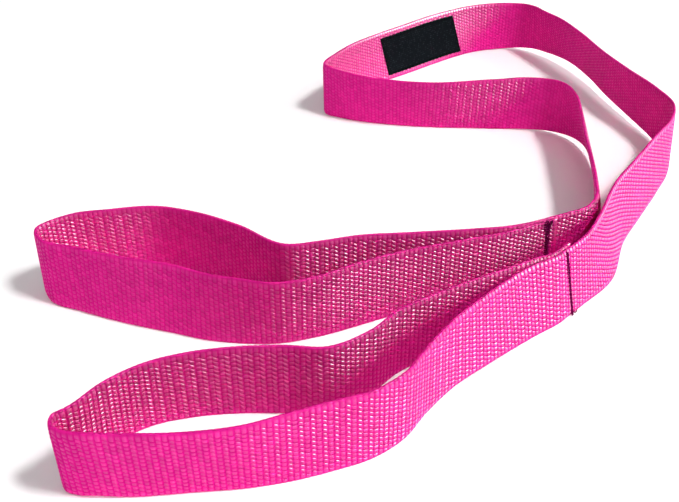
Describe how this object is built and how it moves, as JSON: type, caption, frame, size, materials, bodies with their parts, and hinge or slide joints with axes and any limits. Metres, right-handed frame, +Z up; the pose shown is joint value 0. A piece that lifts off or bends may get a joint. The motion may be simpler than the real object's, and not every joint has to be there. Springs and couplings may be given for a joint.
{
  "type": "stretching strap",
  "caption": "Webbing stretching strap laid on its edge in one open loop, with a sewn hand loop at each end and a bare woven label on the run.",
  "frame": {"origin": "middle of the footprint of the laid strap, on the floor that its lower edge stands on", "axes": "+Z up along the webbing's width, +Y from the hand loops towards the large open loop, +X to the right as seen from the hand loops"},
  "size_m": [0.2462, 0.3092, 0.0286],
  "materials": {
    "webbing": "heavy woven nylon webbing with a slight sheen",
    "label": "matt damask-woven label",
    "seam_thread": "polyester sewing thread",
    "label_thread": "polyester sewing thread"
  },
  "bodies": {
    "run": {"run_webbing": "webbing", "label": "label", "label_needle_thread": "label_thread", "label_bobbin_thread": "label_thread"},
    "rear_loop": {"rear_loop_webbing": "webbing", "rear_seam_needle_thread": "seam_thread", "rear_seam_bobbin_thread": "seam_thread"},
    "front_loop": {"front_loop_webbing": "webbing", "front_seam_needle_thread": "seam_thread", "front_seam_bobbin_thread": "seam_thread"}
  },
  "joints": [
    {"name": "rear_loop_fold", "type": "hinge", "parent": "run", "child": "rear_loop", "pos_m": [0.05711, -0.05317, 0], "axis": [0, 0, 1], "range_deg": [-30, 12]},
    {"name": "front_loop_fold", "type": "hinge", "parent": "run", "child": "front_loop", "pos_m": [0.06206, -0.07189, 0.00014], "axis": [-0.1345, 0.1438, 0.9804], "range_deg": [0, 40]}
  ]
}
